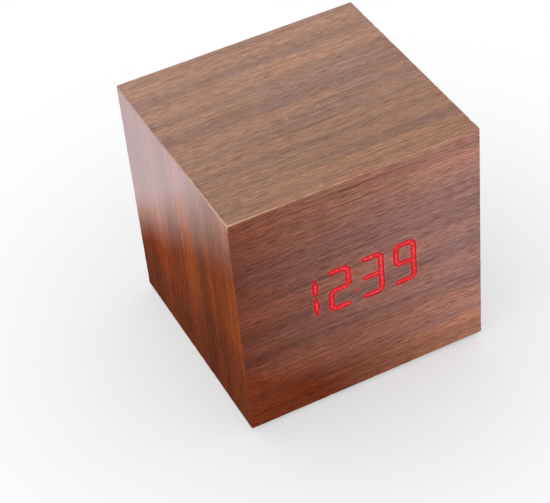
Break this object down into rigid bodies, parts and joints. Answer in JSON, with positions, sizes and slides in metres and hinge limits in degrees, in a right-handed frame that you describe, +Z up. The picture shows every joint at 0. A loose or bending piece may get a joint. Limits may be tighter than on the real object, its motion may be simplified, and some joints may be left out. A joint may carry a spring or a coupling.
{
  "type": "digital alarm clock",
  "caption": "Cube-shaped digital clock in a veneered wooden case, with a red segment display shining through its front, rear push buttons and a battery tray in the base.",
  "frame": {"origin": "under the middle of the case, on the surface that the four feet stand on", "axes": "+X to the right seen from the front, +Y from the front face to the back, +Z up"},
  "size_m": [0.063, 0.06, 0.064],
  "materials": {
    "veneer": "satin",
    "fibreboard": "matte",
    "black_plastic": "satin",
    "white_plastic": "satin",
    "lit_guide": "satin",
    "circuit_board": "satin",
    "epoxy": "satin",
    "plated_steel": "satin",
    "cell_jacket": "satin",
    "capacitor_sleeve": "satin",
    "sensor_bead": "satin",
    "grey_ribbon": "matte",
    "red_insulation": "satin",
    "black_insulation": "satin",
    "foot_rubber": "matte"
  },
  "bodies": {
    "clock_case": {"top_panel": "fibreboard", "bottom_panel": "fibreboard", "left_panel": "fibreboard", "right_panel": "fibreboard", "front_panel": "fibreboard", "back_panel": "fibreboard", "top_veneer": "veneer", "bottom_veneer": "veneer", "left_veneer": "veneer", "right_veneer": "veneer", "front_veneer": "veneer", "back_veneer": "veneer", "foot_front_left": "foot_rubber", "foot_front_right": "foot_rubber", "foot_back_left": "foot_rubber", "foot_back_right": "foot_rubber", "display_housing": "white_plastic", "hour_tens_light": "lit_guide", "hour_units_light": "lit_guide", "minute_tens_light": "lit_guide", "minute_units_light": "lit_guide", "colon_light": "lit_guide", "display_board": "circuit_board", "display_screw_left": "plated_steel", "display_screw_right": "plated_steel", "rear_control_plate": "black_plastic", "main_board": "circuit_board", "board_screw_left": "plated_steel", "board_screw_right": "plated_steel", "set_switch": "epoxy", "up_switch": "epoxy", "down_switch": "epoxy", "dc_socket": "black_plastic", "microphone": "plated_steel", "microcontroller": "epoxy", "clock_crystal": "plated_steel", "buzzer": "black_plastic", "capacitor": "capacitor_sleeve", "temperature_sensor": "sensor_bead", "backup_cell_clip": "black_plastic", "backup_cell": "plated_steel", "battery_tray": "black_plastic", "battery_1": "cell_jacket", "battery_2": "cell_jacket", "battery_3": "cell_jacket", "negative_contact": "plated_steel", "positive_contact": "plated_steel", "bridge_contact_left": "plated_steel", "bridge_contact_right": "plated_steel", "tray_screw_front": "plated_steel", "tray_screw_back": "plated_steel", "battery_lead_black": "black_insulation", "battery_lead_red": "red_insulation", "ribbon_cable": "grey_ribbon"},
    "set_push_button": {"set_button": "black_plastic"},
    "up_push_button": {"up_button": "black_plastic"},
    "down_push_button": {"down_button": "black_plastic"},
    "bay_door": {"battery_door": "black_plastic"}
  },
  "joints": [
    {"name": "set_press", "type": "slide", "parent": "clock_case", "child": "set_push_button", "axis": [0, -1, 0], "range_m": [0, 0.0005], "stiffness_N_per_m": 1000},
    {"name": "up_press", "type": "slide", "parent": "clock_case", "child": "up_push_button", "axis": [0, -1, 0], "range_m": [0, 0.0005], "stiffness_N_per_m": 1000},
    {"name": "down_press", "type": "slide", "parent": "clock_case", "child": "down_push_button", "axis": [0, -1, 0], "range_m": [0, 0.0005], "stiffness_N_per_m": 1000},
    {"name": "battery_door_hinge", "type": "hinge", "parent": "clock_case", "child": "bay_door", "pos_m": [0, 0.01575, 0.002], "axis": [1, 0, 0], "range_deg": [0, 75]}
  ]
}
